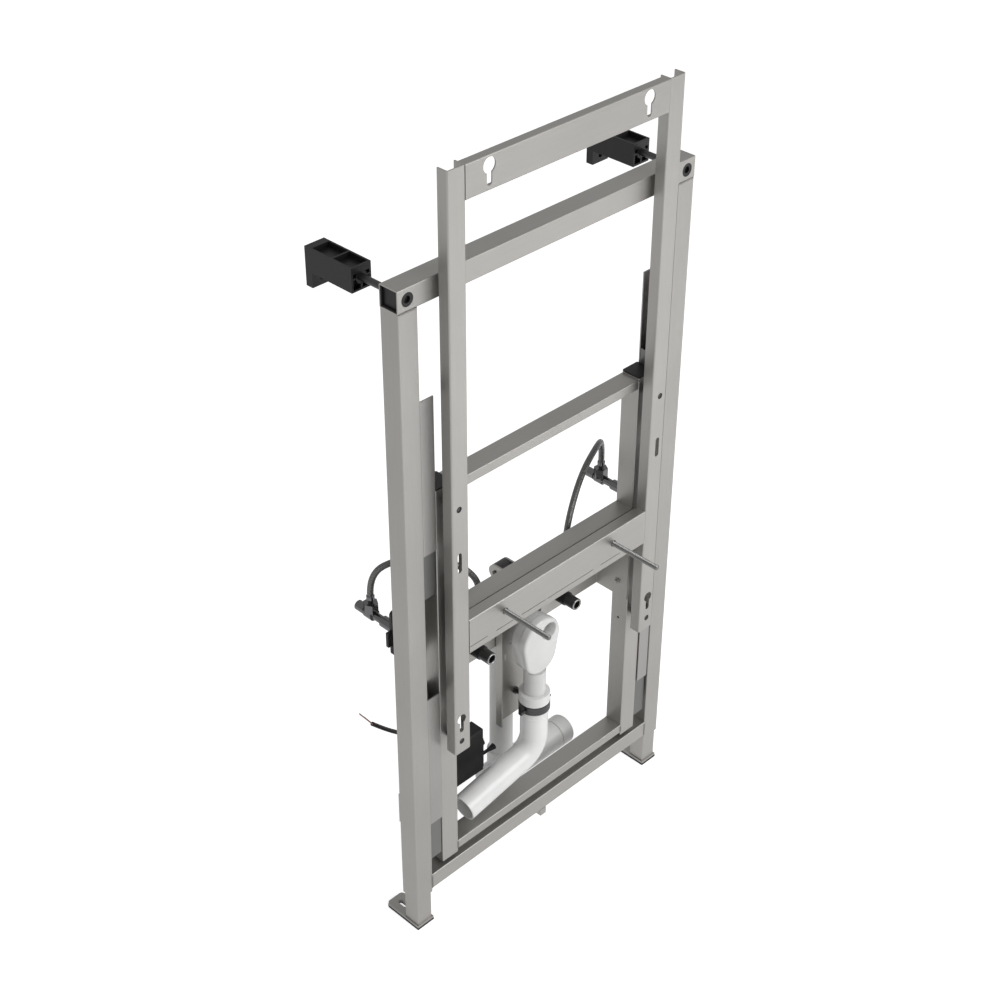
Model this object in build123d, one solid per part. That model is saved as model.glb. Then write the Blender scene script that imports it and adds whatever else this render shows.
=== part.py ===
"""Washbasin installation frame whose front carriage is raised and lowered by a motor.

Millimetres, +Z up. It is drawn about the middle of the frame: X along the width, Y towards the
wall, with Y = 0 on the front face of the posts and Z = 0 on the floor. Each piece is then moved
so that the origin lies on the sole of the left foot.
"""
from build123d import *
from math import radians, tan
import os

# Outer frame
frame_width = 680.0
frame_height = 1362.0
tube_size = 40.0
tube_wall = 2.0
tube_corner = 2.0
bend_corner = 3.0
post_bottom = 76.0
crossbar_bottom = 83.0
crossbar_height = 36.0
fit_gap = 0.3

# Feet
foot_length = 88.0
foot_plate = 5.0
pad_thickness = 4.0
foot_overlap = 60.0
foot_wall = 2.5
foot_slot_length = 22.0
foot_slot_width = 9.0
foot_slot_back = 24.0
foot_corner = 8.0

# Wall brackets
wall_face = 210.0
bracket_front = 102.0
bracket_height = 42.0
bracket_foot_height = 68.0
bracket_foot = 15.0
bracket_wall = 3.5
bracket_top_rise = 20.0
bracket_pocket = 9.0
bracket_face_pocket = 8.0
bracket_boss = 22.0
wall_screw = 9.0
rod_diameter = 12.0
rod_front = 6.0
bush_diameter = 24.0
bush_depth = 14.0
rod_seat = 50.0
rod_bore = 60.0

# Carriage
carriage_front = 4.0
slide_space = 31.5
inner_post_bottom = 128.0
inner_post_top = 970.0
cap_thickness = 3.0
member_height = 20.0
top_member_top = 968.0
bottom_member_bottom = 134.0
rear_bar_rise = 17.0
rail_front = -30.0
rail_depth = 22.0
rail_inset = 5.0
rail_width = 36.5
rail_wall = 2.5
rail_bottom = 414.0
rail_top = 1538.0
plate_height = 58.0
plate_depth = 16.0
front_bar_drop = 46.0
front_bar_height = 74.0

# Holes in the rails and the top plate
keyhole_circle = 26.0
keyhole_slot = 11.0
plate_keyhole_inset = 49.0
plate_keyhole_z = 1521.0
plate_keyhole_drop = 27.0
rail_hole_inset = 21.0
rail_keyhole_circle = 20.0
rail_keyhole_slot = 9.0
rail_keyhole_z = 491.0
rail_keyhole_drop = 25.0
rail_slot_z = 833.0
rail_slot_length = 40.0
rail_slot_width = 9.5
rail_bolt_heights = (440.0, 941.0)
rail_bolt_diameter = 8.0
spacer_diameter = 15.0

# Basin studs
stud_spacing = 280.0
stud_height = 673.0
stud_diameter = 10.0
stud_tip = -136.0
stud_hole_gap = 1.4
stud_nut = 17.0
slit_height = 1.2
slit_rise = 15.0
slit_ends = ((-230, -183), (-162, -120), (-99, -39), (-34, 87), (107, 159))

# Slides
slide_length = 298.0
slide_bottoms = (247.0, 855.0)
runner_length = 240.0
slide_drop = 92.0
slide_wall = 2.5
slide_gap = 1.5
runner_gap = 1.0

# Rear panel and trap plate
panel_back = 84.5
panel_wall = 2.5
panel_bottom = 477.0
panel_top = 600.0
lug_bottom = 560.0
trap_plate_width = 106.0
trap_plate_bottom = 287.0
trap_plate_top = 520.0
trap_plate_flange = 18.0
panel_bolt_y = 30.0
panel_bolt_height = 509.0
panel_bolt = 8.0
panel_bolt_head = 13.0
post_hole = 5.0
post_hole_y = 25.0
post_hole_height = 421.0
plate_hole = (-15.0, 467.0, 9.0)
plate_slot = (-29.5, 438.0, 4.0, 16.0)

# Trap and waste
waste_y = 29.5
trap_width = 94.0
trap_height = 124.0
trap_bottom = 425.0
trap_foot = 27.0
trap_front = 11.0
trap_edge = 4.0
cover_thickness = 16.0
trap_step = 2.0
trap_depth = 37.0
inlet_depth = 28.0
inlet_chamfer = 4.0
neck_diameter = 43.0
inlet_x = 18.0
inlet_z = 514.0
inlet_diameter = 40.0
inlet_wall = 3.0
waste_diameter = 54.0
waste_wall = 3.0
collar_diameter = 60.0
collar_top = 372.0
collar_bottom = 351.0
collar_edge = 2.0
bead_heights = (318.0, 323.0, 328.0)
bead = 1.2
bend_height = 229.0
bend_radius = 46.0
waste_slope = 10.5
waste_reach = 190.0
clamp_centre = 341.0
clamp_height = 17.0
clamp_thickness = 3.0
clamp_ear = 12.0
clamp_ear_depth = 8.0
clamp_stud = 8.0
clamp_nut = 13.0

# Water connections
connection_spacing = 226.0
connection_height = 513.0
connection_front = 31.0
elbow_front = 55.0
sleeve_diameter = 24.0
sleeve_bore = 15.0
elbow_diameter = 28.0
elbow_top = 545.0
elbow_leg = 20.0
elbow_y = 65.5

# Valves and hoses
valve_inset = 43.0
valve_y = 144.0
valve_axis = 659.0
valve_top = 683.0
valve_plate_bottom = 615.0
valve_plate_top = 818.0
valve_plate_depth = 14.0
valve_plate_width = 48.0
valve_plate_sheet = 3.0
valve_hub = 22.0
valve_neck = 15.0
valve_inlet = 21.0
valve_inlet_length = 58.0
valve_nut = 24.0
valve_nut_height = 20.0
valve_cap = 19.0
valve_cap_length = 24.0
valve_edge = 1.5
flange_width = 64.0
flange_bottom = 632.0
flange_top = 726.0
flange_thickness = 6.0
flange_lug = 9.0
flange_lug_bottom = 656.0
flange_lug_height = 30.0
ferrule_neck = 9.5
ferrule_ring = 15.0
ferrule_step = 8.0
hose_diameter = 12.0

# Actuator and control box
actuator_y = 118.0
motor_height = 106.0
motor_diameter = 62.0
motor_left = -46.0
motor_right = 185.0
motor_edge = 8.0
motor_seam = 150.0
motor_seam_width = 2.0
actuator_tube = 46.0
actuator_tube_wall = 2.5
actuator_collar = 56.0
actuator_collar_top = 168.0
actuator_top = 545.0
piston_diameter = 22.0
piston_inside = 380.0
eye_height = 611.0
eye_diameter = 32.0
eye_pin = 10.0
eye_width = 26.0
shelf_wall = 4.0
shelf_width = 50.0
shelf_tab = 15.0
shelf_tab_drop = 16.0
box_inset = 84.0
box_length = 174.0
box_gland_rise = 55.0
bracket_arm = 80.0
bracket_height_low = 15.0
bracket_height_high = 85.0
bracket_sheet = 3.0
bracket_seat = 26.0
box_bottom = 186.0
box_height = 105.0
box_front = 84.0
box_depth = 33.0
box_edge = 3.0
lid_step = 4.0
lid_drop = 30.0
gland_diameter = 16.0
gland_length = 12.0
stub_height = 215.0
stub_length = 34.0
stub_diameters = (7.0, 13.0)
cable_diameter = 8.0
core_diameter = 2.4
core_spread = 4.0

half_width = frame_width / 2
post_centre = half_width - tube_size / 2
post_face = half_width - tube_size
tube_middle = tube_size / 2
rod_height = frame_height - tube_size / 2
inner_post_outer = post_face - slide_space
inner_post_inner = inner_post_outer - tube_size
rail_inner = inner_post_outer - rail_inset - rail_width
rail_hole_x = rail_inner + rail_hole_inset
plate_keyhole_x = rail_inner - plate_keyhole_inset
front_bar_bottom = stud_height - front_bar_drop
rear_bar_top = stud_height + rear_bar_rise
valve_x = half_width - valve_inset
connection_x = connection_spacing / 2
hose_start = valve_top + 2 * ferrule_step
box_left = box_inset - half_width
box_right = box_left + box_length
carriage_back = carriage_front + tube_size
origin_x = -post_centre
origin_y = foot_length / 2
sides = (("left", -1), ("right", 1))

os.makedirs("parts", exist_ok=True)


def save(name, *solids):
    """Write one piece, moved so that the origin is on the sole of the left foot."""
    shape = solids[0] if len(solids) == 1 else Compound(list(solids))
    export_step(Pos(-origin_x, -origin_y, 0) * shape, f"parts/{name}.step")


def block(x, y, z):
    """A box given by its two limits along each axis."""
    size = [abs(high - low) for low, high in (x, y, z)]
    middle = [(low + high) / 2 for low, high in (x, y, z)]
    return Pos(*middle) * Box(*size)


def rod(start, end, diameter):
    """A round bar between two points."""
    run = Vector(end) - Vector(start)
    return extrude(Plane(origin=start, z_dir=run) * Circle(diameter / 2), run.length)


def square_tube(length, depth, height, wall, corner=tube_corner):
    """A hollow box section along Z with rounded outer edges, standing on Z = 0."""
    outline = RectangleRounded(depth, height, corner) - Rectangle(depth - 2 * wall, height - 2 * wall)
    return extrude(outline, length)


def upright(x, y, bottom, top, wall=tube_wall, size=tube_size):
    return Pos(x, y, bottom) * square_tube(top - bottom, size, size, wall)


def beam(x_low, x_high, y, z, depth, height, wall=tube_wall):
    """A hollow box section along X."""
    section = square_tube(x_high - x_low, height, depth, wall)
    return Pos(x_low, y, z) * Rot(0, 90, 0) * section


def channel(width, depth, wall, length):
    """A folded channel along Z with rounded bends: its web lies on Y = 0 and it opens towards +Y."""
    web = Pos(0, depth / 2) * Rectangle(width, depth)
    web = fillet(web.vertices().group_by(Axis.Y)[0], bend_corner)
    inner = Pos(0, (depth + wall) / 2) * Rectangle(width - 2 * wall, depth - wall)
    inner = fillet(inner.vertices().group_by(Axis.Y)[0], bend_corner - wall) if bend_corner > wall else inner
    return extrude(web - inner, length)


def slot(x, y, z, width, height, depth):
    """An upright slot through a sheet in the XZ plane."""
    return Pos(x, y, z) * Rot(90, 0, 0) * extrude(SlotOverall(height, width, rotation=90), depth / 2, both=True)


def keyhole(x, y, z, circle, width, drop, depth):
    """A round opening with a narrow slot below it, through a sheet in the XZ plane."""
    opening = Circle(circle / 2) + Pos(0, -drop / 2) * SlotCenterToCenter(drop, width, rotation=90)
    return Pos(x, y, z) * Rot(90, 0, 0) * extrude(opening, depth / 2, both=True)


def hex_nut(across, thickness, bore=0.0):
    outline = RegularPolygon(across / 2, 6, major_radius=False)
    return extrude(outline - Circle(bore / 2) if bore else outline, thickness)


# Outer frame

def make_post(side):
    return upright(side * post_centre, tube_middle, post_bottom, frame_height - tube_size)


def make_top_tube():
    tube = beam(-half_width, half_width, tube_middle, rod_height, tube_size, tube_size)
    for _, side in sides:
        x = side * post_centre
        tube -= rod((x, -1, rod_height), (x, tube_middle, rod_height), bush_diameter)
        tube -= rod((x, tube_middle, rod_height), (x, tube_size + 1, rod_height), rod_diameter + 2 * fit_gap)
    return tube


def make_end_insert(side):
    """A stopper in the end of the top tube, cleared round the bush."""
    reach = 6.0
    inner = tube_size - 2 * tube_wall - fit_gap
    x_end = side * (half_width - 1.5)
    x_low, x_high = sorted((x_end, x_end - side * reach))
    cup = block((x_low, x_high), (tube_middle - inner / 2, tube_middle + inner / 2),
                (rod_height - inner / 2, rod_height + inner / 2))
    x_low, x_high = sorted((x_end + side, x_end - side * (reach - 2.5)))
    return cup - block((x_low, x_high), (tube_middle - inner / 2 + 2, tube_middle + inner / 2 - 2),
                       (rod_height - inner / 2 + 2, rod_height + inner / 2 - 2))


def make_bush(side):
    """A flanged bush in the front hole, round the head of the wall rod."""
    x = side * post_centre
    bush = rod((x, 0.5, rod_height), (x, bush_depth, rod_height), bush_diameter - fit_gap)
    return bush - rod((x, 0, rod_height), (x, bush_depth + 1, rod_height), rod_diameter + fit_gap)


def make_crossbar():
    x = half_width - tube_size
    z = crossbar_bottom + crossbar_height / 2
    return beam(-x, x, tube_middle, z, tube_size, crossbar_height)


def make_shelf():
    """The bracket under the crossbar that the actuator stands on."""
    top = crossbar_bottom - shelf_tab_drop / 2
    rib = block((-shelf_tab / 2, shelf_tab / 2), (0, tube_size),
                (crossbar_bottom - shelf_tab_drop, crossbar_bottom))
    plate = block((-shelf_width / 2, shelf_width / 2), (12, actuator_y + motor_diameter / 2),
                  (top - shelf_wall, top - fit_gap))
    return rib + plate


def foot_slot(x, z, height):
    outline = SlotOverall(foot_slot_length, foot_slot_width, rotation=90)
    return Pos(x, foot_length - foot_slot_back, z) * extrude(outline, height)


def make_foot(side):
    """The telescopic foot tube on its slotted floor plate."""
    x = side * post_centre
    size = tube_size - 2 * tube_wall - 2 * fit_gap
    low = pad_thickness
    outline = Rectangle(tube_size, foot_length)
    plate = Pos(x, foot_length / 2, low) * extrude(outline, foot_plate)
    rear = plate.edges().filter_by(Axis.Z).group_by(Axis.Y)[-1]
    plate = fillet(rear, foot_corner)
    cut = foot_slot(x, low, foot_plate)
    tube = upright(x, tube_middle, low + foot_plate, post_bottom + foot_overlap, foot_wall, size)
    return plate - cut + tube


def make_foot_pad(side):
    x = side * post_centre
    pad = Pos(x, foot_length / 2, 0) * extrude(Rectangle(tube_size + 1, foot_length + 1), pad_thickness)
    rear = pad.edges().filter_by(Axis.Z).group_by(Axis.Y)[-1]
    return fillet(rear, foot_corner) - foot_slot(x, -1, pad_thickness + 2)


# Wall brackets

def make_wall_bracket(side):
    """A ribbed moulded block with two pockets in its top and a foot against the wall."""
    x = side * post_centre
    top = rod_height + bracket_top_rise
    bottom = top - bracket_height
    body = block((x - tube_size / 2, x + tube_size / 2), (bracket_front, wall_face), (bottom, top))
    foot = block((x - tube_size / 2, x + tube_size / 2), (wall_face - bracket_foot, wall_face),
                 (top - bracket_foot_height, top))
    body += foot
    inner = tube_size - 2 * bracket_wall
    middle = (bracket_front + wall_face - bracket_foot) / 2
    for low, high in ((bracket_front + bracket_wall, middle - bracket_wall / 2),
                      (middle + bracket_wall / 2, wall_face - bracket_foot)):
        body -= block((x - inner / 2, x + inner / 2), (low, high), (top - bracket_pocket, top + 1))
    boss = rod((x, bracket_front, rod_height), (x, bracket_front + bracket_face_pocket, rod_height), bracket_boss)
    half = bracket_wall / 2
    edge = tube_size / 2 - bracket_wall
    for low, high in ((-edge, -half), (half, edge)):
        for under, over in ((bottom + bracket_wall, rod_height - half), (rod_height + half, top - bracket_pocket - 3)):
            body -= block((x + low, x + high), (bracket_front - 1, bracket_front + bracket_face_pocket),
                          (under, over)) - boss
    body -= rod((x, bracket_front - 1, rod_height), (x, bracket_front + rod_bore, rod_height), rod_diameter + fit_gap)
    screw = (top - bracket_foot_height + bottom) / 2
    return body - rod((x, wall_face - bracket_foot - 1, screw), (x, wall_face + 1, screw), wall_screw)


def make_wall_rod(side):
    """The depth-adjusting rod from the top tube into the wall bracket."""
    x = side * post_centre
    return rod((x, rod_front, rod_height), (x, bracket_front + rod_seat, rod_height), rod_diameter)


# Slides

def make_guides(side):
    """Two open channels on the inner face of the outer post."""
    tip = inner_post_outer + slide_gap
    front, back = 2.0, tube_size + 2.0
    solids = []
    for bottom in slide_bottoms:
        guide = Rot(0, 0, 90) * channel(back - front, post_face - tip, slide_wall, slide_length)
        guide = Pos(post_face, (front + back) / 2, bottom) * guide
        solids.append(guide if side > 0 else guide.mirror(Plane.YZ))
    return solids


def make_runners(side):
    """The moving slide members on the outer face of the inner post."""
    low = inner_post_outer
    high = post_face - slide_wall - runner_gap
    front, back = 2.0 + slide_wall + runner_gap, tube_size + 2.0 - slide_wall - runner_gap
    solids = []
    for bottom in slide_bottoms:
        bar = Rot(0, 0, -90) * channel(back - front, high - low, slide_wall, runner_length)
        bar = Pos(low, (front + back) / 2, bottom - slide_drop) * bar
        solids.append(bar if side > 0 else bar.mirror(Plane.YZ))
    return solids


# Carriage

def make_inner_post(side):
    x = side * (inner_post_inner + tube_size / 2)
    post = upright(x, carriage_front + tube_size / 2, inner_post_bottom, inner_post_top)
    return post - rod((side * (inner_post_inner - 1), post_hole_y, post_hole_height),
                      (side * (inner_post_inner + tube_wall + 1), post_hole_y, post_hole_height), post_hole)


def make_inner_cap(side):
    """A plastic stopper on top of the inner post."""
    x = side * (inner_post_inner + tube_size / 2)
    y = carriage_front + tube_size / 2
    inner = tube_size - 2 * tube_wall - fit_gap
    lid = extrude(RectangleRounded(tube_size, tube_size, tube_corner), cap_thickness)
    plug = extrude(Rectangle(inner, inner) - Rectangle(inner - 4, inner - 4), -12)
    return Pos(x, y, inner_post_top) * (lid + plug)


def make_member(bottom, height):
    return beam(-inner_post_inner, inner_post_inner, carriage_front + tube_size / 2, bottom + height / 2,
                tube_size, height)


def make_rear_bar():
    bar = make_member(rear_bar_top - tube_size, tube_size)
    for _, side in sides:
        x = side * stud_spacing / 2
        bar -= rod((x, carriage_front - 1, stud_height), (x, carriage_front + 5, stud_height),
                   stud_diameter + 2 * fit_gap)
    return bar


def make_rail(side):
    """A channel open to the back, with holes for the basin and its supports."""
    rail = channel(rail_width, rail_depth, rail_wall, rail_top - rail_bottom)
    rail = Pos(rail_inner + rail_width / 2, rail_front, rail_bottom) * rail
    y = rail_front + rail_wall / 2
    depth = rail_wall + 2
    rail -= keyhole(rail_hole_x, y, rail_keyhole_z, rail_keyhole_circle, rail_keyhole_slot, rail_keyhole_drop, depth)
    rail -= slot(rail_hole_x, y, rail_slot_z, rail_slot_width, rail_slot_length, depth)
    for z in rail_bolt_heights:
        rail -= rod((rail_hole_x, y - depth, z), (rail_hole_x, y + depth, z), rail_bolt_diameter)
    return rail if side > 0 else rail.mirror(Plane.YZ)


def make_rail_bolts(side):
    """Spacers and bolts between the rail and the inner post."""
    x = side * rail_hole_x
    back = rail_front + rail_wall
    solids = []
    for z in rail_bolt_heights:
        spacer = rod((x, back, z), (x, carriage_front, z), spacer_diameter)
        shank = rod((x, rail_front + 1, z), (x, back, z), rail_bolt_diameter - 2 * fit_gap)
        solids.append(spacer + shank)
    return solids


def make_top_plate():
    plate = Rot(0, 90, 0) * channel(plate_height, plate_depth, rail_wall, 2 * rail_inner)
    plate = Pos(-rail_inner, rail_front, rail_top - plate_height / 2) * plate
    for _, side in sides:
        plate -= keyhole(side * plate_keyhole_x, rail_front + rail_wall / 2, plate_keyhole_z, keyhole_circle,
                         keyhole_slot, plate_keyhole_drop, rail_wall + 2)
    return plate


def make_front_crossbar():
    bar = Rot(0, 90, 0) * channel(front_bar_height, rail_depth, rail_wall, 2 * rail_inner)
    bar = Pos(-rail_inner, rail_front, front_bar_bottom + front_bar_height / 2) * bar
    for _, side in sides:
        x = side * stud_spacing / 2
        bar -= rod((x, rail_front - 1, stud_height), (x, rail_front + rail_wall + 1, stud_height),
                   stud_diameter + 2 * stud_hole_gap)
    low = front_bar_bottom + slit_rise - slit_height / 2
    for ends in slit_ends:
        bar -= block(ends, (rail_front - 1, rail_front + rail_wall + 1), (low, low + slit_height))
    return bar


def make_basin_stud(side):
    """A threaded stud through the front crossbar into the rear bar, with its lock nut."""
    x = side * stud_spacing / 2
    stud = rod((x, stud_tip, stud_height), (x, carriage_front + tube_wall, stud_height), stud_diameter)
    back = rail_front + rail_wall
    nut = Pos(x, back, stud_height) * Rot(-90, 0, 0) * hex_nut(stud_nut, carriage_front - back)
    return stud + nut


def make_rear_panel():
    """A folded sheet behind the rear bar that carries the water connections and the trap plate."""
    panel = channel(2 * inner_post_inner, panel_back - carriage_front, panel_wall, panel_top - panel_bottom)
    panel = Pos(0, panel_back, panel_bottom) * Rot(0, 0, 180) * panel
    x = inner_post_inner - panel_wall
    for _, side in sides:
        start, end = (side * x, panel_bolt_y, panel_bolt_height), (side * (x - 1.5), panel_bolt_y, panel_bolt_height)
        panel += rod(start, end, panel_bolt_head)
        panel += rod(end, (side * (x - 6), panel_bolt_y, panel_bolt_height), panel_bolt)
    # lugs for the piston rod's eye
    lug = 4.0
    for _, side in sides:
        low, high = sorted((side * (eye_width / 2 + 0.5), side * (eye_width / 2 + 0.5 + lug)))
        ear = block((low, high), (panel_back, actuator_y), (lug_bottom, eye_height + eye_diameter / 2))
        ear += rod((low, actuator_y, eye_height), (high, actuator_y, eye_height), eye_diameter)
        ear -= rod((low - 1, actuator_y, eye_height), (high + 1, actuator_y, eye_height), eye_pin)
        panel += ear
    return panel


def make_trap_plate():
    """A hanging channel in front of the rear panel, which holds the pipe clamp."""
    back = panel_back - panel_wall
    plate = channel(trap_plate_width, trap_plate_flange, panel_wall, trap_plate_top - trap_plate_bottom)
    plate = Pos(0, back, trap_plate_bottom) * Rot(0, 0, 180) * plate
    x, z, size = plate_hole
    plate -= rod((x, back - trap_plate_flange / 2, z), (x, back + 1, z), size)
    x, z, width, height = plate_slot
    return plate - slot(x, back - panel_wall / 2, z, width, height, panel_wall + 2)


# Trap and waste pipe

def trap_outline(inset=0.0):
    """The trap seen from the front: a large and a small circle joined by their tangents."""
    top, foot = trap_width / 2, trap_foot
    large = Pos(0, trap_height - top) * Circle(top - inset)
    small = Pos(0, foot) * Circle(foot - inset)
    return make_hull(large.edges() + small.edges())


def make_trap_body():
    z = trap_bottom
    shell = extrude(trap_outline(trap_step), trap_depth - cover_thickness)
    shell = fillet(shell.edges().group_by(Axis.Z)[0], trap_edge)
    shell = Pos(0, trap_front + trap_depth, z) * Rot(90, 0, 0) * shell
    neck = rod((0, waste_y, collar_bottom + 6), (0, waste_y, z + 12), neck_diameter)
    neck -= block((-trap_width, trap_width), (0, trap_front + cover_thickness), (z, z + trap_height))
    inlet = rod((inlet_x, trap_front, inlet_z), (inlet_x, trap_front + inlet_depth, inlet_z),
                inlet_diameter - 2 * inlet_wall)
    return shell + neck - inlet


def make_trap_cover():
    back = trap_front + cover_thickness
    cover = extrude(trap_outline(), cover_thickness)
    cover = fillet(cover.edges().group_by(Axis.Z)[-1], trap_edge)
    cover = Pos(0, back, trap_bottom) * Rot(90, 0, 0) * cover
    bore = inlet_diameter / 2 - inlet_wall
    mouth = Plane(origin=(inlet_x, trap_front, inlet_z), z_dir=(0, 1, 0))
    flare = loft([mouth * Circle(bore + inlet_chamfer), mouth.offset(inlet_chamfer) * Circle(bore)])
    return cover - flare - rod((inlet_x, trap_front - 1, inlet_z), (inlet_x, back + 1, inlet_z), 2 * bore)


def make_waste_pipe():
    """The bend from the pipe clamp to the outlet, with its socket collar."""
    slope = radians(waste_slope)
    end = (-waste_reach, waste_y, bend_height - waste_reach * tan(slope))
    path = FilletPolyline((0, waste_y, collar_bottom), (0, waste_y, bend_height), end, radius=bend_radius)
    start = Plane(origin=(0, waste_y, collar_bottom), z_dir=(0, 0, -1))
    pipe = sweep(start * (Circle(waste_diameter / 2) - Circle(waste_diameter / 2 - waste_wall)), path=path)
    collar = extrude(Circle(collar_diameter / 2) - Circle(neck_diameter / 2 + fit_gap), collar_top - collar_bottom)
    collar = fillet(collar.edges().group_by(Axis.Z)[-1].sort_by(SortBy.RADIUS)[-1:], collar_edge)
    pipe += Pos(0, waste_y, collar_bottom) * collar
    for z in bead_heights:
        ring = Circle(waste_diameter / 2 + bead / 2) - Circle(waste_diameter / 2 - bead)
        pipe += Pos(0, waste_y, z - bead / 2) * extrude(ring, bead)
    return pipe


def make_pipe_clamp():
    """A two-part clamp round the pipe, with its ears and the stud to the trap plate."""
    low = clamp_centre - clamp_height / 2
    inner = waste_diameter / 2 + fit_gap
    ring = Pos(0, waste_y, low) * extrude(Circle(inner + clamp_thickness) - Circle(inner), clamp_height)
    half = clamp_ear_depth / 2
    for _, side in sides:
        a, b = side * (inner + clamp_thickness / 2), side * (inner + clamp_ear)
        ring += block((a, b), (waste_y - half, waste_y + half), (low, low + clamp_height))
        x = (side * (inner + clamp_thickness) + b) / 2
        ring += Pos(x, waste_y - half, clamp_centre) * Rot(90, 0, 0) * hex_nut(clamp_nut / 2, half)
    back = panel_back - 2 * panel_wall
    ring += rod((0, waste_y + inner + clamp_thickness / 2, clamp_centre), (0, back, clamp_centre), clamp_stud)
    return ring + Pos(0, back, clamp_centre) * Rot(90, 0, 0) * hex_nut(clamp_nut, half)


# Water connections

def make_elbow(side):
    x = side * connection_x
    back = panel_back - panel_wall
    elbow = rod((x, elbow_front, connection_height), (x, back, connection_height), elbow_diameter)
    elbow += rod((x, elbow_y, connection_height), (x, elbow_y, elbow_top), elbow_leg)
    return elbow


def make_sleeve(side):
    x = side * connection_x
    sleeve = rod((x, connection_front, connection_height), (x, elbow_front, connection_height), sleeve_diameter)
    return sleeve - rod((x, connection_front - 1, connection_height), (x, elbow_front - 3, connection_height),
                        sleeve_bore)


# Valves and hoses

def make_valve_plate(side):
    plate = channel(valve_plate_width, valve_plate_depth, valve_plate_sheet, valve_plate_top - valve_plate_bottom)
    return Pos(side * valve_x, tube_size + valve_plate_depth, valve_plate_bottom) * Rot(0, 0, 180) * plate


def turned(profile, start, direction):
    """A body turned from (radius, distance) steps along an axis, closed at both ends."""
    points = [(0, profile[0][1]), *profile, (0, profile[-1][1])]
    half = make_face(Polyline(*points, close=True))
    body = revolve(Plane.XZ * half, Axis.Z)
    return Plane(origin=start, z_dir=direction).location * body


def make_valve(side):
    """An angle valve: inlet, hub and cap along Y, outlet nut and ferrule of the hose along Z."""
    x = side * valve_x
    back = tube_size + valve_plate_depth
    hub, neck, inlet, cap = (size / 2 for size in (valve_hub, valve_neck, valve_inlet, valve_cap))
    edge = valve_edge
    front = valve_y - back - hub
    rear = valve_y - back + hub
    profile = [(inlet, 0), (inlet, valve_inlet_length), (neck, valve_inlet_length + edge), (neck, front),
               (hub, front + edge), (hub, rear - edge), (neck, rear), (neck, rear + edge), (cap, rear + 2 * edge),
               (cap, rear + valve_cap_length - edge), (cap - edge, rear + valve_cap_length)]
    valve = turned(profile, (x, back, valve_axis), (0, 1, 0))
    valve += Pos(x, valve_y, valve_top - valve_nut_height) * hex_nut(valve_nut, valve_nut_height)
    neck, ring, step = ferrule_neck / 2, ferrule_ring / 2, ferrule_step
    ferrule = [(neck, 0), (neck, step - edge), (ring, step), (ring, 2 * step - edge), (ring - edge, 2 * step)]
    return valve + turned(ferrule, (x, valve_y, valve_top), (0, 0, 1))


def make_valve_flange(side):
    """The black moulded holder round the valve's inlet, on the valve plate, with a lug at its outer edge."""
    x = side * valve_x
    back = tube_size + valve_plate_depth
    end = back + flange_thickness
    holder = block((x - flange_width / 2, x + flange_width / 2), (back, end), (flange_bottom, flange_top))
    holder = fillet(holder.edges().filter_by(Axis.Y), valve_neck / 2)
    edge = x + side * flange_width / 2
    holder += block((edge - side * flange_lug, edge + side * flange_lug), (back, end),
                    (flange_lug_bottom, flange_lug_bottom + flange_lug_height))
    return holder - rod((x, back - 1, valve_axis), (x, end + 1, valve_axis), valve_inlet + 2 * fit_gap)


def hose_route(side):
    points = [(valve_x, valve_y, hose_start), (valve_x, valve_y, 744), (257, 119, 768), (181, 92, 747),
              (115, 62, 688), (112, 64.5, 617), (connection_x, elbow_y, elbow_top + fit_gap)]
    return [(side * x, y, z) for x, y, z in points]


def make_cord(points, diameter):
    """A round tube along straight runs that large tangent arcs join."""
    vectors = [Vector(*p) for p in points]
    runs = [(b - a).length for a, b in zip(vectors, vectors[1:])]
    radii = []
    for i in range(1, len(points) - 1):
        turn = (vectors[i] - vectors[i - 1]).get_angle(vectors[i + 1] - vectors[i])
        radii.append(0.45 * min(runs[i - 1], runs[i]) / tan(radians(turn / 2)))
    print("bend radii", [round(r, 1) for r in radii], "runs", [round(r, 1) for r in runs])
    path = FilletPolyline(*points, radius=radii)
    start = Plane(origin=points[0], z_dir=vectors[1] - vectors[0])
    return sweep(start * Circle(diameter / 2), path=path)


# Actuator and control box

def make_actuator_motor():
    motor = rod((motor_left, actuator_y, motor_height), (motor_right, actuator_y, motor_height), motor_diameter)
    motor = fillet(motor.edges().filter_by(GeomType.CIRCLE), motor_edge)
    seam = Circle(motor_diameter / 2 + 1) - Circle(motor_diameter / 2 - motor_seam_width)
    motor -= Plane(origin=(motor_seam, actuator_y, motor_height), z_dir=(1, 0, 0)) * extrude(seam, motor_seam_width)
    collar = rod((0, actuator_y, motor_height), (0, actuator_y, actuator_collar_top), actuator_collar)
    return motor + collar


def make_actuator_tube():
    tube = rod((0, actuator_y, actuator_collar_top), (0, actuator_y, actuator_top), actuator_tube)
    return tube - rod((0, actuator_y, actuator_collar_top + 8), (0, actuator_y, actuator_top + 1),
                      piston_diameter + 2 * fit_gap)


def make_actuator_rod():
    """The piston rod with the eye that lifts the carriage, and its pin."""
    piston = rod((0, actuator_y, actuator_collar_top + 12), (0, actuator_y, eye_height - 8), piston_diameter)
    half = eye_width / 2
    eye = rod((-half, actuator_y, eye_height), (half, actuator_y, eye_height), eye_diameter)
    half += 7
    pin = rod((-half, actuator_y, eye_height), (half, actuator_y, eye_height), eye_pin - 2 * fit_gap)
    return piston + eye + pin


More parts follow.
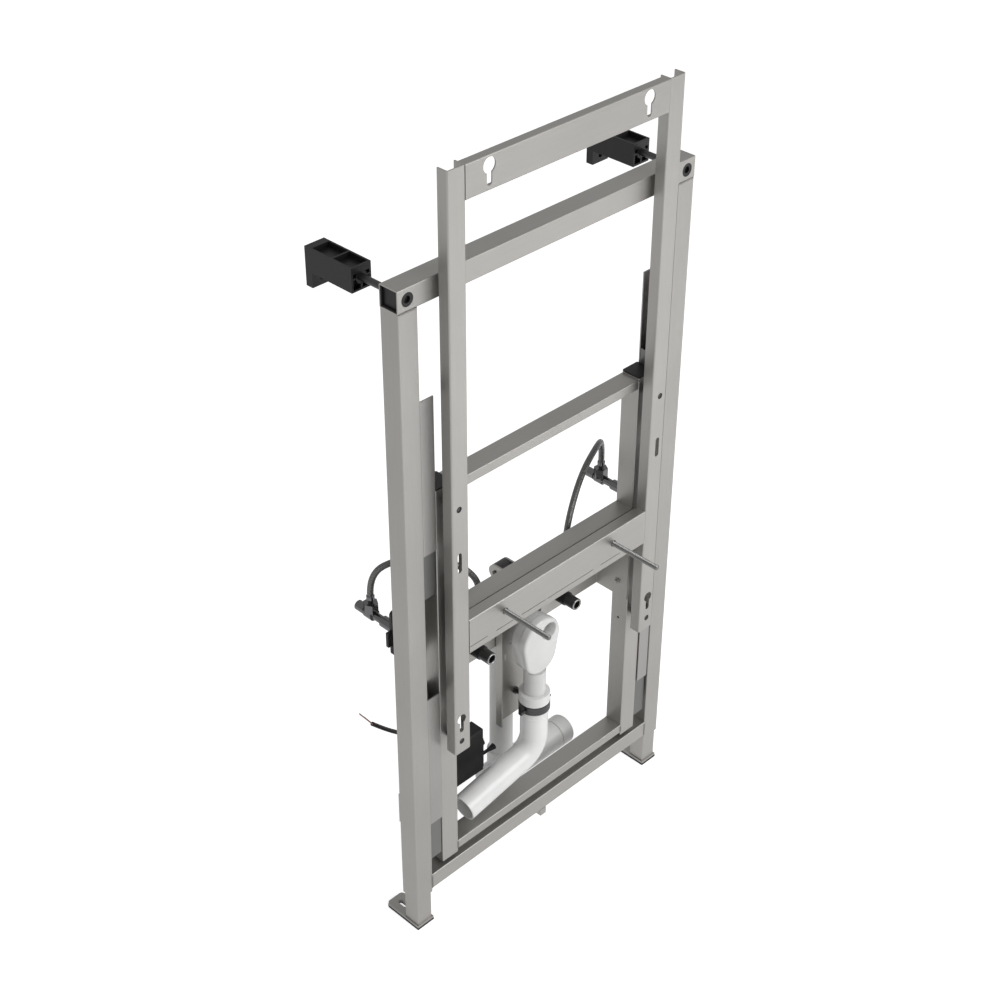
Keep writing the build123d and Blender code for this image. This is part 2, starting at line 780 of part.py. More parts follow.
def make_control_box():
    box = block((box_left, box_right), (box_front, box_front + box_depth), (box_bottom, box_bottom + box_height))
    box = chamfer(box.edges(), box_edge / 2)
    lid = block((box_left + lid_step, box_right + lid_step), (box_front + lid_step, box_front + box_depth - lid_step),
                (box_bottom + lid_step, box_bottom + box_height - lid_drop))
    z = box_bottom + box_gland_rise
    y = box_front + box_depth / 2
    box += lid + rod((box_right, y, z), (box_right + gland_length, y, z), gland_diameter)
    thin, wide = stub_diameters
    end = box_right + lid_step
    stub = [(thin / 2, 0), (thin / 2, stub_length / 2), (wide / 2, stub_length)]
    return box + turned(stub, (end, box_front + lid_step + wide / 2, stub_height), (1, 0, 0))


def make_box_bracket():
    """A folded bracket from the back of the left post to the control box."""
    z = (box_bottom + bracket_height_low, box_bottom + bracket_height_high)
    sheet = bracket_sheet
    foot = block((-post_face - bracket_seat, -post_face), (tube_size, tube_size + sheet), z)
    arm = block((-post_face - sheet, -post_face), (tube_size, box_front), z)
    flange = block((-post_face - sheet, bracket_arm - post_face), (box_front - sheet, box_front), z)
    return foot + arm + flange


cable_route = [(-236, 100, box_bottom + box_height), (-236, 100, 330), (-248, 100, 368), (-282, 100, 398),
               (-317, 100, 430), (-344, 100, 459)]
cable_tip = (-367, 100, 493)


def make_core(offset):
    """One bare-ended core of the cable, beyond the end of the sheath."""
    start, end = Vector(*cable_route[-1]), Vector(*cable_tip)
    start += (start - Vector(*cable_route[-2])).normalized() * fit_gap
    return rod(start + Vector(0, offset, 0), end + Vector(0, core_spread * offset, 0), core_diameter)


def build():
    for name, side in sides:
        save(f"post_{name}", make_post(side))
        save(f"foot_{name}", make_foot(side))
        save(f"wall_bracket_{name}", make_wall_bracket(side))
        save(f"slide_guides_{name}", *make_guides(side))
        save(f"slide_runners_{name}", *make_runners(side))
        save(f"valve_{name}", make_valve(side))
        save(f"hose_{name}", make_cord(hose_route(side), hose_diameter))
        save(f"inner_post_{name}", make_inner_post(side))
        save(f"front_rail_{name}", make_rail(side))
    both = [side for _, side in sides]
    save("foot_pads", *[make_foot_pad(side) for side in both])
    save("wall_rods", *[make_wall_rod(side) for side in both])
    save("tube_end_inserts", *[make_end_insert(side) for side in both])
    save("rod_bushes", *[make_bush(side) for side in both])
    save("valve_plates", *[make_valve_plate(side) for side in both])
    save("valve_flanges", *[make_valve_flange(side) for side in both])
    save("inner_post_caps", *[make_inner_cap(side) for side in both])
    save("rail_bolts", *[solid for side in both for solid in make_rail_bolts(side)])
    save("basin_studs", *[make_basin_stud(side) for side in both])
    save("water_elbows", *[make_elbow(side) for side in both])
    save("water_sleeves", *[make_sleeve(side) for side in both])
    save("top_tube", make_top_tube())
    save("bottom_crossbar", make_crossbar())
    save("actuator_shelf", make_shelf())
    save("inner_top_member", make_member(top_member_top - member_height, member_height))
    save("inner_bottom_member", make_member(bottom_member_bottom, member_height))
    save("rear_bar", make_rear_bar())
    save("top_plate", make_top_plate())
    save("front_crossbar", make_front_crossbar())
    save("rear_panel", make_rear_panel())
    save("trap_plate", make_trap_plate())
    save("trap_body", make_trap_body())
    save("trap_cover", make_trap_cover())
    save("waste_pipe", make_waste_pipe())
    save("pipe_clamp", make_pipe_clamp())
    save("actuator_motor", make_actuator_motor())
    save("actuator_tube", make_actuator_tube())
    save("actuator_rod", make_actuator_rod())
    save("control_box", make_control_box())
    save("control_box_bracket", make_box_bracket())
    save("mains_cable", make_cord(cable_route, cable_diameter))
    save("cable_cores", *[make_core(offset) for offset in (-core_diameter / 2 - fit_gap, core_diameter / 2 + fit_gap)])


build()
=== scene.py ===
import math
import bmesh
import bpy
import numpy as np
from mathutils import Matrix, Vector


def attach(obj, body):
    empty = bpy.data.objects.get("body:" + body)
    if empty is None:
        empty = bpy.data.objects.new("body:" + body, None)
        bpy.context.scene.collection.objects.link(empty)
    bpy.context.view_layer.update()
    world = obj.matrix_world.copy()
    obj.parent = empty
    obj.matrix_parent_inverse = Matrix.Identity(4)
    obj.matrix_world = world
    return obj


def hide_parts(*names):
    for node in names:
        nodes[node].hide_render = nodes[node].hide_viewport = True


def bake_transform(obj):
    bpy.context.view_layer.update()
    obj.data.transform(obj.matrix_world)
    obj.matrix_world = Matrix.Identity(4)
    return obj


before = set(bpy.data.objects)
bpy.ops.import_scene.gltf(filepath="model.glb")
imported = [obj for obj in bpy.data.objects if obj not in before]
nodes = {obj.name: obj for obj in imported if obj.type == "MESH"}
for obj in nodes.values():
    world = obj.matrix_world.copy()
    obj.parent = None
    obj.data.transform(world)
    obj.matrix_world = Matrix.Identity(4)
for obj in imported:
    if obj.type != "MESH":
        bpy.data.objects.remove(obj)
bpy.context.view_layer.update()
mm = 0.001
fullTurn = 2 * math.pi
midX, frontY = 320.0, 44.0  # from the middle of the frame to its left foot, where the origin lies
print("frame loaded:", len(nodes), "nodes")


# A point measured from the middle of the frame, in millimetres, as metres from the left foot
def place(x, y, z):
    return ((x + midX) * mm, (y - frontY) * mm, z * mm)


# Angles in equal steps, once round
def angles(count):
    return np.linspace(0, fullTurn, count, endpoint=False)


# Camera
camera = {
    "spot": (-1926.2, -1786.1, 2652.3),  # millimetres from the middle of the frame
    "heading": 45.222, "tilt": 35.089, "roll": 0.158,  # degrees
    "lens": 66.17, "sensor": 36, "shiftX": 0.0009, "shiftY": 0.0073,
    "farthest": 40,  # metres
}


def makeCamera():
    data = bpy.data.cameras.new("photoCamera")
    data.lens = camera["lens"]
    data.sensor_width = camera["sensor"]
    data.shift_x, data.shift_y = camera["shiftX"], camera["shiftY"]
    data.clip_end = camera["farthest"]
    obj = bpy.data.objects.new("photoCamera", data)
    bpy.context.scene.collection.objects.link(obj)
    turn = (Matrix.Rotation(math.radians(-camera["heading"]), 4, "Z")
            @ Matrix.Rotation(math.radians(90 - camera["tilt"]), 4, "X")
            @ Matrix.Rotation(math.radians(camera["roll"]), 4, "Z"))
    x, y, z = camera["spot"]
    obj.matrix_world = Matrix.Translation(place(x, y, z)) @ turn
    bpy.context.scene.camera = obj


makeCamera()


# Shader maths: a socket with the operators that the paints use
class Value:
    def __init__(self, paint, socket):
        self.paint, self.socket = paint, socket

    def math(self, operation, *others):
        sockets = dict(enumerate((self, *others)))
        return self.paint.node("ShaderNodeMath", {"operation": operation}, sockets)

    def __add__(self, other):
        return self.math("ADD", other)

    def __radd__(self, other):
        return self.math("ADD", other)

    def __sub__(self, other):
        return self.math("SUBTRACT", other)

    def __rsub__(self, other):
        return self.paint.node("ShaderNodeMath", {"operation": "SUBTRACT"}, {0: other, 1: self})

    def __mul__(self, other):
        return self.math("MULTIPLY", other)

    def __rmul__(self, other):
        return self.math("MULTIPLY", other)


# One material being made
class Paint:
    def __init__(self, name):
        self.material = bpy.data.materials.new(name)
        self.material.use_nodes = True
        self.tree = self.material.node_tree
        self.shader = self.tree.nodes["Principled BSDF"]

    def node(self, kind, settings, sockets, output=0):
        made = self.tree.nodes.new(kind)
        for key, value in settings.items():
            setattr(made, key, value)
        for key, value in sockets.items():
            self.feed(made.inputs[key], value)
        return Value(self, made.outputs[output])

    def feed(self, socket, value):
        if isinstance(value, Value):
            self.tree.links.new(value.socket, socket)
        elif socket.type == "RGBA" and len(value) == 3:
            socket.default_value = (*value, 1)
        else:
            socket.default_value = value

    def where(self, scale=(1, 1, 1)):
        spot = self.node("ShaderNodeTexCoord", {}, {}, "Object")
        return self.node("ShaderNodeMapping", {}, {"Vector": spot, "Scale": scale})

    def noise(self, scale, detail=3.0, stretch=(1, 1, 1), roughness=0.5):
        sockets = {"Vector": self.where(stretch), "Scale": scale, "Detail": detail,
                   "Roughness": roughness}
        return self.node("ShaderNodeTexNoise", {}, sockets)

    def ramp(self, value, low, high):
        sockets = {"Value": value, "From Min": low, "From Max": high}
        return self.node("ShaderNodeMapRange", {}, sockets)

    def blendColors(self, factor, first, second):
        sockets = {"Factor": factor, 6: first, 7: second}  # 6 and 7 are its color inputs
        return self.node("ShaderNodeMix", {"data_type": "RGBA"}, sockets, 2)

    def bump(self, height, strength, distance):
        sockets = {"Height": height, "Strength": strength, "Distance": distance}
        return self.node("ShaderNodeBump", {}, sockets)

    def set(self, **values):
        names = {"color": "Base Color", "metallic": "Metallic", "roughness": "Roughness",
                 "normal": "Normal", "coat": "Coat Weight", "coatRoughness": "Coat Roughness",
                 "ior": "IOR"}
        for key, value in values.items():
            self.feed(self.shader.inputs[names[key]], value)
        return self.material


# The darker and the lighter tone between which a surface varies
def tones(color, dark, light, lift=0.0):
    return tuple(c * dark for c in color), tuple(min(1, c * light + lift) for c in color)


# What all materials of a kind share: scales per metre, shares of a sum, and how far the
# roughness drops below its middle value and rises again with the pattern
steelLook = {"cloud": 5.0, "cloudShare": 0.6, "streakShare": 0.4, "contrast": (0.3, 0.7),
             "dark": 0.93, "light": 1.05, "drop": 0.03, "rise": 0.08,
             "bump": 0.10, "bumpDepth": 0.0004}
plasticLook = {"cloud": 12.0, "contrast": (0.3, 0.7), "dark": 0.94, "light": 1.05, "lift": 0.004,
               "drop": 0.04, "rise": 0.10, "coatRoughness": 0.12, "bumpDepth": 0.0002}
chromeLook = {"smear": 30.0, "contrast": (0.45, 0.8), "rise": 0.10,
              "bump": 0.03, "bumpDepth": 0.0003}
braidLook = {"ribs": 8.0, "ribsPerMetre": 330.0, "wires": 4, "wireShare": 0.08,
             "contrast": (0.2, 1.0), "gap": (0.018, 0.018, 0.018), "steel": (0.23, 0.23, 0.225),
             "metallic": 0.9, "roughness": 0.22, "bump": 0.6, "bumpDepth": 0.0006}


# Satin steel: a faint drawn grain along the section, cloudy sheen and slightly uneven gloss
def steelPaint(name, color, roughness=0.42, metallic=0.85, grain=(260, 260, 9)):
    look = steelLook
    p = Paint(name)
    cloud = p.noise(look["cloud"], 2.0)
    streak = p.noise(1.0, 4.0, grain, 0.6)
    tone = p.ramp(cloud * look["cloudShare"] + streak * look["streakShare"], *look["contrast"])
    low, high = tones(color, look["dark"], look["light"])
    return p.set(color=p.blendColors(tone, low, high), metallic=metallic,
                 roughness=roughness - look["drop"] + look["rise"] * streak,
                 normal=p.bump(streak, look["bump"], look["bumpDepth"]))


def plasticPaint(name, color, roughness=0.45, grainScale=900.0, grainStrength=0.10, coat=0.0,
                 ior=1.5):
    look = plasticLook
    p = Paint(name)
    grain = p.noise(grainScale, 2.0)
    cloud = p.noise(look["cloud"], 3.0)
    low, high = tones(color, look["dark"], look["light"], look["lift"])
    return p.set(color=p.blendColors(p.ramp(cloud, *look["contrast"]), low, high),
                 roughness=roughness - look["drop"] + look["rise"] * cloud,
                 coat=coat, coatRoughness=look["coatRoughness"], ior=ior,
                 normal=p.bump(grain, grainStrength, look["bumpDepth"]))


def chromePaint(name, color, roughness=0.09):
    look = chromeLook
    p = Paint(name)
    smear = p.noise(look["smear"], 3.0)
    return p.set(color=color, metallic=1.0,
                 roughness=roughness + look["rise"] * p.ramp(smear, *look["contrast"]),
                 normal=p.bump(smear, look["bump"], look["bumpDepth"]))


# Woven steel wire: two families of slanted ribs, from the hose's own u (round) and v (metres along)
def braidPaint(name):
    look = braidLook
    p = Paint(name)
    uv = p.node("ShaderNodeUVMap", {"uv_map": "weave"}, {})
    u, v = (p.node("ShaderNodeSeparateXYZ", {}, {"Vector": uv}, axis) for axis in (0, 1))
    across, along, wires = look["ribs"], look["ribsPerMetre"], look["wires"]
    left = ((u * across + v * along) * fullTurn).math("SINE")
    right = ((u * across - v * along) * fullTurn).math("SINE")
    fine = ((u * across * wires + v * along * wires) * fullTurn).math("SINE")
    height = left.math("MAXIMUM", right) * 0.5 + 0.5 + fine * look["wireShare"]
    color = p.blendColors(p.ramp(height, *look["contrast"]), look["gap"], look["steel"])
    return p.set(color=color, metallic=look["metallic"], roughness=look["roughness"],
                 normal=p.bump(height, look["bump"], look["bumpDepth"]))


# Steel and chrome: color, roughness. Plastic: color, roughness, grain's scale and strength, coat
paints = {
    "frameSteel": steelPaint("satinFrameSteel", (0.42, 0.41, 0.39)),
    "carriageSteel": steelPaint("satinCarriageSteel", (0.44, 0.43, 0.41)),
    "acrossSteel": steelPaint("satinCrossSteel", (0.43, 0.42, 0.40), grain=(9, 260, 260)),
    "slideSteel": steelPaint("foldedSlideSteel", (0.38, 0.37, 0.36), 0.36),
    "runnerSteel": steelPaint("drawnRunnerSteel", (0.20, 0.20, 0.195), 0.38),
    "zinc": chromePaint("brightZinc", (0.36, 0.36, 0.35), 0.22),
    "studZinc": chromePaint("threadedStudZinc", (0.20, 0.20, 0.195), 0.16),
    "weld": steelPaint("weldBeadSteel", (0.30, 0.29, 0.28), 0.34),
    "darkZinc": steelPaint("dullDarkZinc", (0.09, 0.09, 0.09), 0.36),
    "chrome": chromePaint("polishedChrome", (0.17, 0.17, 0.175)),
    "blackPlastic": plasticPaint("mouldedBlackPlastic", (0.012, 0.012, 0.013), 0.42, ior=1.4),
    "rubber": plasticPaint("padRubber", (0.014, 0.014, 0.014), 0.62, 500.0, 0.2),
    "boxPlastic": plasticPaint("grainedBoxPlastic", (0.012, 0.012, 0.012), 0.5, 700.0, 0.2,
                               ior=1.35),
    "whitePlastic": plasticPaint("glossyWhitePlastic", (0.80, 0.80, 0.79), 0.25, 300.0, 0.02, 0.4),
    "pipePlastic": plasticPaint("whitePipePlastic", (0.93, 0.93, 0.92), 0.30, 300.0, 0.02, 0.3),
    "actuatorPaint": plasticPaint("paleGreyPaint", (0.72, 0.72, 0.71), 0.34, 400.0, 0.05),
    "motorPlastic": plasticPaint("paleMotorPlastic", (0.78, 0.78, 0.77), 0.34, 400.0, 0.05),
    "braid": braidPaint("braidedWire"),
    "sheath": plasticPaint("cableSheath", (0.014, 0.014, 0.014), 0.40, 500.0, 0.08),
    "coreRose": plasticPaint("coreInsulationRose", (0.40, 0.20, 0.17), 0.40),
}
# Which nodes get which; basin_studs, trap_cover, the hoses and the cable are replaced further on
finishes = {
    "frameSteel": ["post_left", "post_right", "foot_left", "foot_right", "valve_plates",
                   "control_box_bracket", "actuator_shelf"],
    "acrossSteel": ["top_tube", "bottom_crossbar", "inner_top_member", "inner_bottom_member",
                    "rear_bar", "top_plate", "front_crossbar"],
    "carriageSteel": ["inner_post_left", "inner_post_right", "front_rail_left", "front_rail_right",
                      "rear_panel", "trap_plate"],
    "slideSteel": ["slide_guides_left", "slide_guides_right"],
    "runnerSteel": ["slide_runners_left", "slide_runners_right"],
    "darkZinc": ["pipe_clamp", "water_sleeves", "wall_rods", "rail_bolts", "actuator_rod"],
    "chrome": ["valve_left", "valve_right"],
    "blackPlastic": ["tube_end_inserts", "rod_bushes", "inner_post_caps", "wall_bracket_left",
                     "wall_bracket_right", "water_elbows", "valve_flanges"],
    "rubber": ["foot_pads"],
    "boxPlastic": ["control_box"],
    "whitePlastic": ["trap_body"],
    "pipePlastic": ["waste_pipe"],
    "actuatorPaint": ["actuator_tube"],
    "motorPlastic": ["actuator_motor"],
    "coreRose": ["cable_cores"],
}
for paint, names in finishes.items():
    for name in names:
        nodes[name].data.materials.clear()
        nodes[name].data.materials.append(paints[paint])
print("finishes on", sum(len(names) for names in finishes.values()), "nodes")


# A mesh object from points and faces, each an array or a list
def newPiece(name, points, faces, paint, smooth=True):
    mesh = bpy.data.meshes.new(name)
    faceList = faces if isinstance(faces, list) else faces.tolist()
    mesh.from_pydata(np.asarray(points).tolist(), [], faceList)
    mesh.materials.append(paint)
    if smooth:
        mesh.shade_smooth()
    obj = bpy.data.objects.new(name, mesh)
    bpy.context.scene.collection.objects.link(obj)
    return obj


# Cords
hose = {
    "diameter": 12 * mm,
    "route": [(297, 144, 699), (297, 144, 744), (257, 119, 768), (181, 92, 747), (115, 62, 688),
              (112, 64.5, 617), (113, 65.5, 545.3)],
}
cable = {
    "diameter": 8 * mm,
    "route": [(-236, 100, 291), (-236, 100, 330), (-248, 100, 368), (-282, 100, 398),
              (-317, 100, 430), (-344, 100, 459)],
}


# A NURBS curve with the route's points as its control points
def routeCurve(name, points, diameter):
    data = bpy.data.curves.new(name, "CURVE")
    data.dimensions = "3D"
    spline = data.splines.new("NURBS")
    spline.points.add(len(points) - 1)
    for point, spot in zip(spline.points, points):
        point.co = (*spot, 1)
    spline.use_endpoint_u = True
    spline.order_u = 3
    data.resolution_u = 12
    data.bevel_depth = diameter / 2
    data.bevel_resolution = 6
    data.use_fill_caps = True
    obj = bpy.data.objects.new(name, data)
    bpy.context.scene.collection.objects.link(obj)
    return obj


# The points that a route's smooth line passes through
def smoothLine(name, points):
    obj = routeCurve(name, points, 0.0)
    mesh = bpy.data.meshes.new_from_object(obj)
    line = np.array([v.co[:] for v in mesh.vertices])
    bpy.data.objects.remove(obj)
    return line


# A round tube along a line: each ring is centre + r (cos a side + sin a up). The side vector is the
# normal of the upright plane through both ends, made square to the line at each ring. u runs round
# the tube and v is the distance along it
def tubePiece(name, line, radius, paint, around=24):
    step = np.diff(line, axis=0)
    length = np.linalg.norm(step, axis=1)
    along = np.concatenate([[0], np.cumsum(length)])
    tangent = np.vstack([step[:1], step[1:] + step[:-1], step[-1:]])
    tangent /= np.linalg.norm(tangent, axis=1)[:, None]
    normal = np.cross(line[-1] - line[0], (0.0, 0.0, 1.0))
    normal /= np.linalg.norm(normal)
    side = normal - (tangent @ normal)[:, None] * tangent
    side /= np.linalg.norm(side, axis=1)[:, None]
    up = np.cross(tangent, side)
    a = angles(around)
    ring = np.cos(a)[None, :, None] * side[:, None] + np.sin(a)[None, :, None] * up[:, None]
    points = (line[:, None] + radius * ring).reshape(-1, 3)
    i, j = np.meshgrid(np.arange(len(line) - 1), np.arange(around), indexing="ij")
    k = (j + 1) % around
    quads = np.stack([i * around + j, i * around + k, (i + 1) * around + k, (i + 1) * around + j],
                     -1)
    obj = newPiece(name, points, quads.reshape(-1, 4), paint)
    u = np.stack([j, j + 1, j + 1, j], -1) / around
    v = np.stack([along[i], along[i], along[i + 1], along[i + 1]], -1)
    layer = obj.data.uv_layers.new(name="weave")
    layer.data.foreach_set("uv", np.stack([u, v], -1).astype(np.float32).ravel())
    return obj, along[-1]


def makeHose(side, sign):
    route = [place(sign * x, y, z) for x, y, z in hose["route"]]
    line = smoothLine("line_" + side, route)
    obj, length = tubePiece("braided_hose_" + side, line, hose["diameter"] / 2, paints["braid"])
    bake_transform(obj)
    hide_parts("hose_" + side)
    print("hose", side, round(length, 3), "m")


def makeCable():
    route = [place(*point) for point in cable["route"]]
    line = smoothLine("cable_line", route)
    obj = routeCurve("mains_lead", route, cable["diameter"])
    obj.data.materials.append(paints["sheath"])
    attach(obj, "frame")
    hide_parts("mains_cable")


makeHose("left", -1)
makeHose("right", 1)
makeCable()


# A skin over rings of points, points[ring, angle], closed on itself or with a flat cap at each end
def ringSkin(points, closed=False):
    rings, around = points.shape[:2]
    i, j = np.meshgrid(np.arange(rings if closed else rings - 1), np.arange(around), indexing="ij")
    k, n = (j + 1) % around, (i + 1) % rings
    corners = [i * around + j, i * around + k, n * around + k, n * around + j]
    quads = np.stack(corners, -1).reshape(-1, 4).tolist()
    if not closed:
        lastRing = (rings - 1) * around
        quads += [list(range(around))[::-1], list(range(lastRing, rings * around))]
    return points.reshape(-1, 3), quads


# Several skins in one mesh, with the normals turned outwards
def skinPiece(name, skins, paint, smooth=True):
    points, faces, first = [], [], 0
    for spots, quads in skins:
        points.append(spots)
        faces += [[first + v for v in face] for face in quads]
        first += len(spots)
    obj = newPiece(name, np.concatenate(points), faces, paint, smooth)
    work = bmesh.new()
    work.from_mesh(obj.data)
    bmesh.ops.recalc_face_normals(work, faces=work.faces)
    work.to_mesh(obj.data)
    work.free()
    return obj


# Rings round an axis along Y through x and z, in millimetres, from arrays [ring, angle] or [ring, 1]
def axisSkin(x, z, radius, y, a, closed=False):
    points = place(x + radius * np.cos(a), y + 0 * a, z + radius * np.sin(a))
    return ringSkin(np.stack(points, -1), closed)


# A profile of (radius, distance behind the spot) carried round such an axis through the spot
def turnedSkin(spot, profile, around=32, closed=False):
    radius, reach = np.array(profile, float).T[..., None]
    return axisSkin(spot[0], spot[2], radius, spot[1] + reach, angles(around)[None], closed)


# Basin studs
stud = {
    "side": 140, "height": 673, "tip": -136, "seat": 6, "radius": 5.0, "pitch": 1.5, "depth": 0.6,
    "bevel": 1.2, "around": 20, "ringsPerTurn": 8,
    "nutAcross": 17, "nutFront": -27.5, "nutBack": 4, "nutBevel": 1.0, "nutAround": 60,
}


# Thread: radius = r - d (1 - cos(angle - 2 pi y / pitch)) / 2, and it narrows over the bevel at
# the tip
def threadSkin(sign):
    y = np.arange(stud["tip"], stud["seat"], stud["pitch"] / stud["ringsPerTurn"])[:, None]
    a = angles(stud["around"])[None]
    groove = stud["depth"] * (1 - np.cos(a - fullTurn * y / stud["pitch"])) / 2
    narrow = np.clip(stud["bevel"] - (y - stud["tip"]), 0, None)
    radius = stud["radius"] - np.maximum(groove, narrow)
    return axisSkin(sign * stud["side"], stud["height"], radius, y, a)


# Hexagon: radius = across / 2 / cos(angle within one sixth), cut back at both ends by the bevel's cone
def hexSkin(sign):
    front, back, bevel = stud["nutFront"], stud["nutBack"], stud["nutBevel"]
    y = np.array([front, front + bevel, back - bevel, back])[:, None]
    a = angles(stud["nutAround"])[None]
    flat = stud["nutAcross"] / 2 / np.cos((a + np.pi / 6) % (np.pi / 3) - np.pi / 6)
    cone = stud["nutAcross"] / 2 + np.array([0, 2 * bevel, 2 * bevel, 0])[:, None]
    return axisSkin(sign * stud["side"], stud["height"], np.minimum(flat, cone), y, a)


def makeStuds():
    skins = [skin(sign) for skin in (threadSkin, hexSkin) for sign in (-1, 1)]
    obj = skinPiece("threaded_studs", skins, paints["studZinc"], smooth=False)
    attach(obj, "carriage")
    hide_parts("basin_studs")
    print("studs", len(obj.data.polygons), "faces")


# Bright rolled rings at the mouths of the water sleeves, each with a round section
mouth = {"side": 113, "height": 513, "front": 31.0, "radius": 9.8, "wire": 1.9,
         "around": 40, "wireAround": 12}


def makeMouthRings():
    a = angles(mouth["wireAround"])
    profile = np.stack([mouth["radius"] + mouth["wire"] * np.cos(a), mouth["wire"] * np.sin(a)], -1)
    spots = [(sign * mouth["side"], mouth["front"], mouth["height"]) for sign in (-1, 1)]
    skins = [turnedSkin(spot, profile, mouth["around"], True) for spot in spots]
    obj = skinPiece("sleeve_mouth_rings", skins, paints["zinc"])
    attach(obj, "carriage")


# Trap: a shell whose outline is a large circle over a smaller one, joined by their tangents, with a
# stepped rim and a round inlet that flares at its front
trap = {
    "topHeight": 502, "topRadius": 47, "footHeight": 465, "footRadius": 40, "front": 11,
    "inletX": 18, "inletHeight": 514, "bore": 17, "flare": 4, "lip": 1.2, "boreDepth": 28,
    "around": 160, "sharpAngle": 38,
    "rows": [(6, 0), (3.2, 0.5), (1.2, 1.8), (0, 4), (0, 15.4), (2.6, 16), (2.6, 17.4), (1.4, 18),
             (1.4, 33), (3, 36), (6, 37)],  # inset from the outline and distance behind the front
}


# Outline: centre + (radius - inset) (cos a, sin a), round the upper circle while sin a is above the
# tangents' direction and round the lower one below it
def trapRing(inset, reach, a):
    turn = (trap["footRadius"] - trap["topRadius"]) / (trap["topHeight"] - trap["footHeight"])
    upper = np.sin(a) > turn
    radius = np.where(upper, trap["topRadius"], trap["footRadius"]) - inset
    height = np.where(upper, trap["topHeight"], trap["footHeight"])
    return place(radius * np.cos(a), trap["front"] + reach + 0 * a, height + radius * np.sin(a))


def boreRing(radius, reach, a):
    return place(trap["inletX"] + radius * np.cos(a), trap["front"] + reach + 0 * a,
                 trap["inletHeight"] + radius * np.sin(a))


def makeTrap():
    a = angles(trap["around"])
    bore, flare, lip = trap["bore"], trap["flare"], trap["lip"]
    inlet = [(bore, trap["boreDepth"]), (bore, flare), (bore + lip, lip), (bore + flare, 0)]
    rings = [boreRing(radius, reach, a) for radius, reach in inlet]
    rings += [trapRing(inset, reach, a) for inset, reach in trap["rows"]]
    skin = ringSkin(np.stack([np.stack(ring, -1) for ring in rings]))
    obj = skinPiece("trap_housing", [skin], paints["whitePlastic"])
    obj.data.set_sharp_from_angle(angle=math.radians(trap["sharpAngle"]))
    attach(obj, "carriage")
    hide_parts("trap_cover")
    print("trap", len(obj.data.polygons), "faces")


# Dark rims round the bolt holes of the front rails
rims = {"side": 248, "heights": (440, 941), "front": -30, "inner": 4.0, "outer": 5.8,
        "proud": 0.35, "innerProud": 0.21, "sunk": 0.4, "around": 28}


def makeHoleRims():
    inner, outer = rims["inner"], rims["outer"]
    profile = [(inner, -rims["innerProud"]), ((inner + outer) / 2, -rims["proud"]), (outer, 0),
               (inner, rims["sunk"])]
    spots = [(sign * rims["side"], rims["front"], height)
             for sign in (-1, 1) for height in rims["heights"]]
    skins = [turnedSkin(spot, profile, rims["around"], True) for spot in spots]
    obj = skinPiece("rail_hole_rims", skins, paints["blackPlastic"])
    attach(obj, "carriage")


# Weld beads: first and last point of each on the +X side, repeated on the -X side
beads = {
    "radius": 1.7, "ripple": 0.35, "step": 3.2, "ringsPerStep": 6, "around": 10,
    "pinchLength": 2, "thinnest": 0.02,
    "frame": [((300, 0, 84), (300, 0, 118)), ((300, 40, 84), (300, 40, 118)),
              ((302, 0, 1322), (338, 0, 1322)), ((302, 40, 1322), (338, 40, 1322)),
              ((300, 2, 1322), (300, 38, 1322))],
    "carriage": [((228.5, 4, 652), (228.5, 4, 688)), ((228.5, 44, 652), (228.5, 44, 688)),
                 ((228.5, 4, 949), (228.5, 4, 967)), ((228.5, 44, 949), (228.5, 44, 967)),
                 ((228.5, 4, 135), (228.5, 4, 153)), ((228.5, 44, 135), (228.5, 44, 153))],
}


# One bead: a thin tube on a straight line, radius = r + ripple cos(2 pi s / step), pinched at its
# ends by the root of the share of the pinch length
def beadSkin(start, end, sign):
    start, end = (np.array([sign * p[0], p[1], p[2]], float) for p in (start, end))
    length = np.linalg.norm(end - start)
    s = np.linspace(0, length, int(length / beads["step"] * beads["ringsPerStep"]) + 2)
    along = (end - start) / length
    side = np.array([0.0, 1.0, 0.0]) if abs(along[1]) < 0.5 else np.array([1.0, 0.0, 0.0])
    up = np.cross(along, side)
    share = np.minimum(s, length - s) / beads["pinchLength"]
    pinch = np.sqrt(np.clip(share, beads["thinnest"], 1))
    radius = (beads["radius"] + beads["ripple"] * np.cos(fullTurn * s / beads["step"])) * pinch
    a = angles(beads["around"])
    ring = np.cos(a)[None, :, None] * side + np.sin(a)[None, :, None] * up
    points = start + s[:, None, None] * along + radius[:, None, None] * ring
    return ringSkin(np.stack(place(points[..., 0], points[..., 1], points[..., 2]), -1))


def makeBeads(body):
    skins = [beadSkin(start, end, sign) for start, end in beads[body] for sign in (-1, 1)]
    obj = skinPiece("weld_beads_" + body, skins, paints["weld"])
    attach(obj, body)
    print("weld beads on the", body, len(skins))


makeStuds()
makeTrap()
makeHoleRims()
makeMouthRings()
makeBeads("frame")
makeBeads("carriage")


# Floor, world and lamps
studio = {
    "halfFloor": 9.0, "floorColor": (0.90, 0.90, 0.90), "floorRoughness": 0.9,
    "seenGlow": 0.70, "mirrorGlow": 0.35,  # the floor's own light to the camera and to shiny surfaces
    "worldLight": 0.36, "worldMirror": 0.50, "worldSeen": 1.0,
    "lamps": {  # name: spot in metres, aimed point, size, power
        "key": ((1.3, -3.6, 2.7), (0.3, 0, 1.2), 2.6, 80),
        "floorPool": ((2.2, -2.2, 1.7), (2.2, -2.2, 0), 1.2, 17),  # the upper fronts mirror this spot
        "fill": ((-4.4, -0.6, 2.0), (0.3, 0, 0.8), 3.2, 20),
    },
}


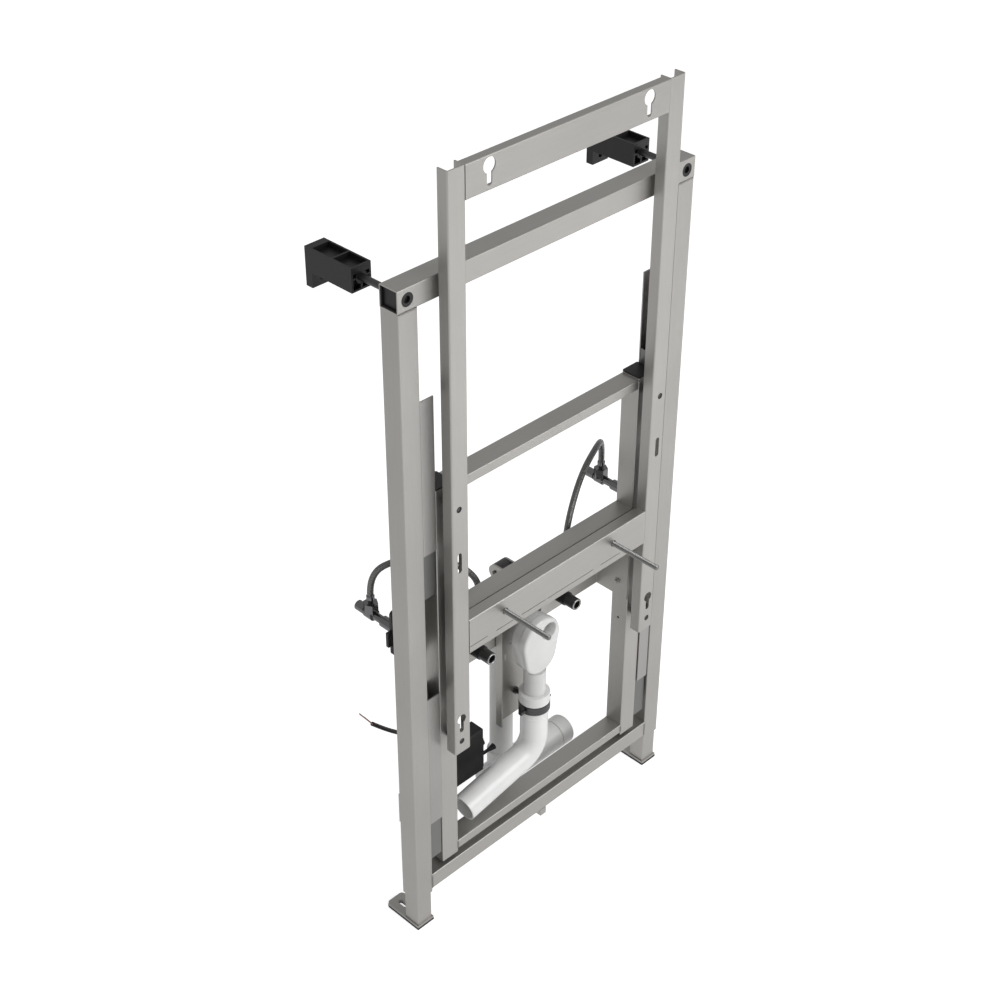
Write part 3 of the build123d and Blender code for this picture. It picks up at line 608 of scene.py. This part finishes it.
def makeFloor():
    half = studio["halfFloor"]
    points = [(-half, -half, 0), (half, -half, 0), (half, half, 0), (-half, half, 0)]
    p = Paint("paleFloor")
    p.set(color=studio["floorColor"], roughness=studio["floorRoughness"])
    rays = p.tree.nodes.new("ShaderNodeLightPath")
    kinds = ("Is Camera Ray", "Is Glossy Ray", "Is Transmission Ray")
    straight, glossy, through = (Value(p, rays.outputs[kind]) for kind in kinds)
    seen = straight.math("MAXIMUM", through)
    glow = seen * studio["seenGlow"] + glossy * studio["mirrorGlow"]
    p.feed(p.shader.inputs["Emission Strength"], glow)
    p.feed(p.shader.inputs["Emission Color"], (1, 1, 1))
    floor = newPiece("floor", points, [(0, 1, 2, 3)], p.material, smooth=False)


# The world's strength is one value to the camera, one to shiny surfaces and one to all else
def makeWorld():
    world = bpy.data.worlds.new("studio")
    world.use_nodes = True
    bpy.context.scene.world = world
    tree = world.node_tree
    back = tree.nodes["Background"]
    rays = tree.nodes.new("ShaderNodeLightPath")
    mirrored = tree.nodes.new("ShaderNodeMapRange")
    tree.links.new(rays.outputs["Is Glossy Ray"], mirrored.inputs["Value"])
    mirrored.inputs["To Min"].default_value = studio["worldLight"]
    mirrored.inputs["To Max"].default_value = studio["worldMirror"]
    seen = tree.nodes.new("ShaderNodeMapRange")
    tree.links.new(rays.outputs["Is Camera Ray"], seen.inputs["Value"])
    tree.links.new(mirrored.outputs[0], seen.inputs["To Min"])
    seen.inputs["To Max"].default_value = studio["worldSeen"]
    tree.links.new(seen.outputs[0], back.inputs["Strength"])
    back.inputs["Color"].default_value = (1, 1, 1, 1)


def makeLamps():
    for name, (spot, aim, size, power) in studio["lamps"].items():
        data = bpy.data.lights.new(name, "AREA")
        data.size, data.energy = size, power
        lamp = bpy.data.objects.new(name, data)
        lamp.visible_camera = False
        bpy.context.scene.collection.objects.link(lamp)
        direction = Vector(aim) - Vector(spot)
        lamp.location = spot
        lamp.rotation_euler = direction.to_track_quat("-Z", "Y").to_euler()


makeFloor()
makeWorld()
makeLamps()
bpy.context.scene.view_settings.view_transform = "Standard"
print("studio ready")
